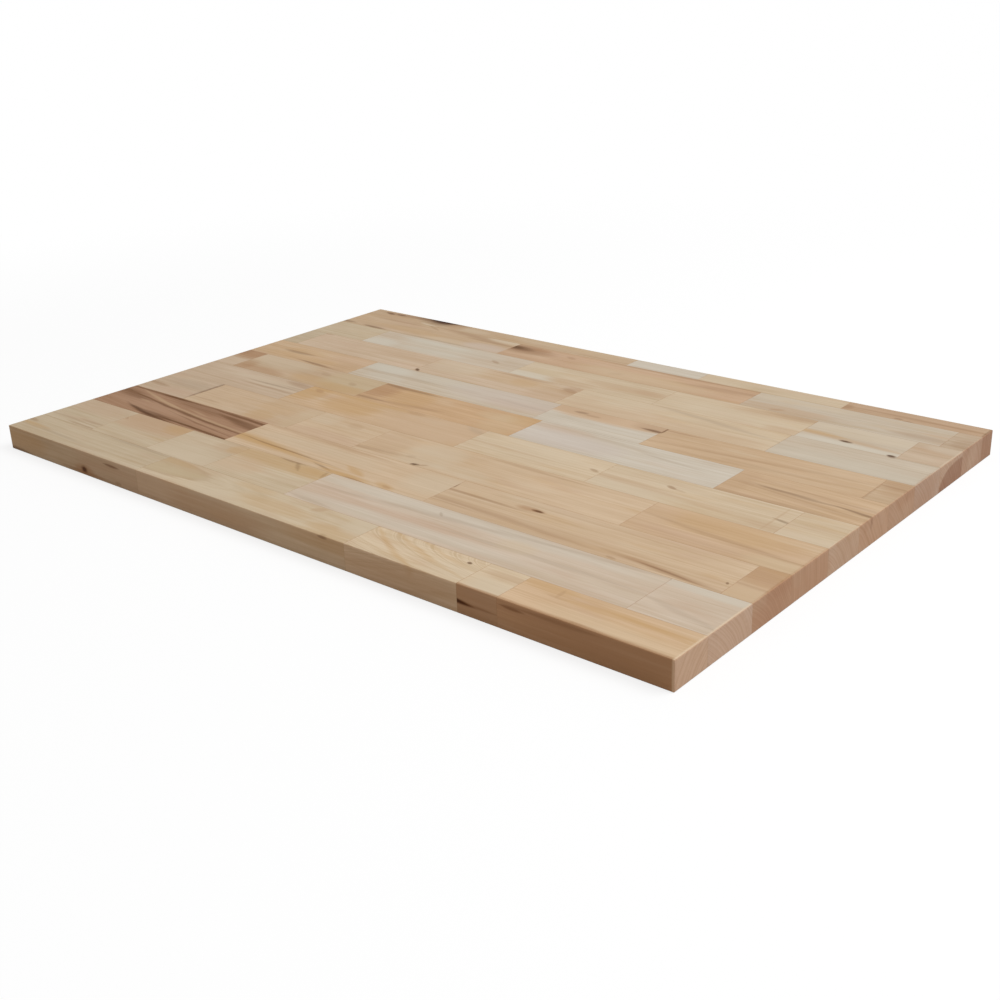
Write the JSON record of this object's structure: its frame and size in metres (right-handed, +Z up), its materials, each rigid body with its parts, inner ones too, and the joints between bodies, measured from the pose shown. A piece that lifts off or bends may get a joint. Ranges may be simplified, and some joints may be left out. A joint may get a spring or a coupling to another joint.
{
  "type": "kitchen worktop",
  "caption": "Solid-wood kitchen worktop panel glued up from butt-jointed staves in rows, with eased edges.",
  "frame": {"origin": "middle of the underside, on the surface that the worktop lies on", "axes": "+X along the length, +Y from the front edge to the back edge, +Z up through the thickness"},
  "size_m": [0.9, 0.6, 0.028],
  "materials": {
    "cream": "oiled, fine grain",
    "straw": "oiled, fine grain",
    "ash": "oiled, fine grain",
    "rose": "oiled, fine grain",
    "honey": "oiled, fine grain",
    "tan": "oiled, fine grain",
    "heartwood": "oiled, fine grain"
  },
  "bodies": {
    "root": {"row01_stave1": "tan", "row01_stave2": "ash", "row01_stave3": "straw", "row01_stave4": "tan", "row02_stave1": "rose", "row02_stave2": "rose", "row02_stave3": "cream", "row02_stave4": "tan", "row03_stave1": "straw", "row03_stave2": "ash", "row03_stave3": "straw", "row03_stave4": "cream", "row03_stave5": "cream", "row03_stave6": "tan", "row04_stave1": "tan", "row04_stave2": "rose", "row04_stave3": "rose", "row04_stave4": "cream", "row04_stave5": "cream", "row05_stave1": "honey", "row05_stave2": "ash", "row05_stave3": "tan", "row05_stave4": "honey", "row05_stave5": "cream", "row06_stave1": "tan", "row06_stave2": "cream", "row06_stave3": "honey", "row06_stave4": "ash", "row06_stave5": "tan", "row07_stave1": "rose", "row07_stave2": "honey", "row07_stave3": "tan", "row07_stave4": "honey", "row07_stave5": "cream", "row08_stave1": "tan", "row08_stave2": "tan", "row08_stave3": "cream", "row08_stave4": "rose", "row08_stave5": "honey", "row09_stave1": "heartwood", "row09_stave2": "honey", "row09_stave3": "tan", "row09_stave4": "tan", "row10_stave1": "cream", "row10_stave2": "cream", "row10_stave3": "ash", "row10_stave4": "tan", "row10_stave5": "rose", "row10_stave6": "rose", "row11_stave1": "straw", "row11_stave2": "straw", "row11_stave3": "straw", "row11_stave4": "cream", "row11_stave5": "honey"}
  },
  "joints": []
}
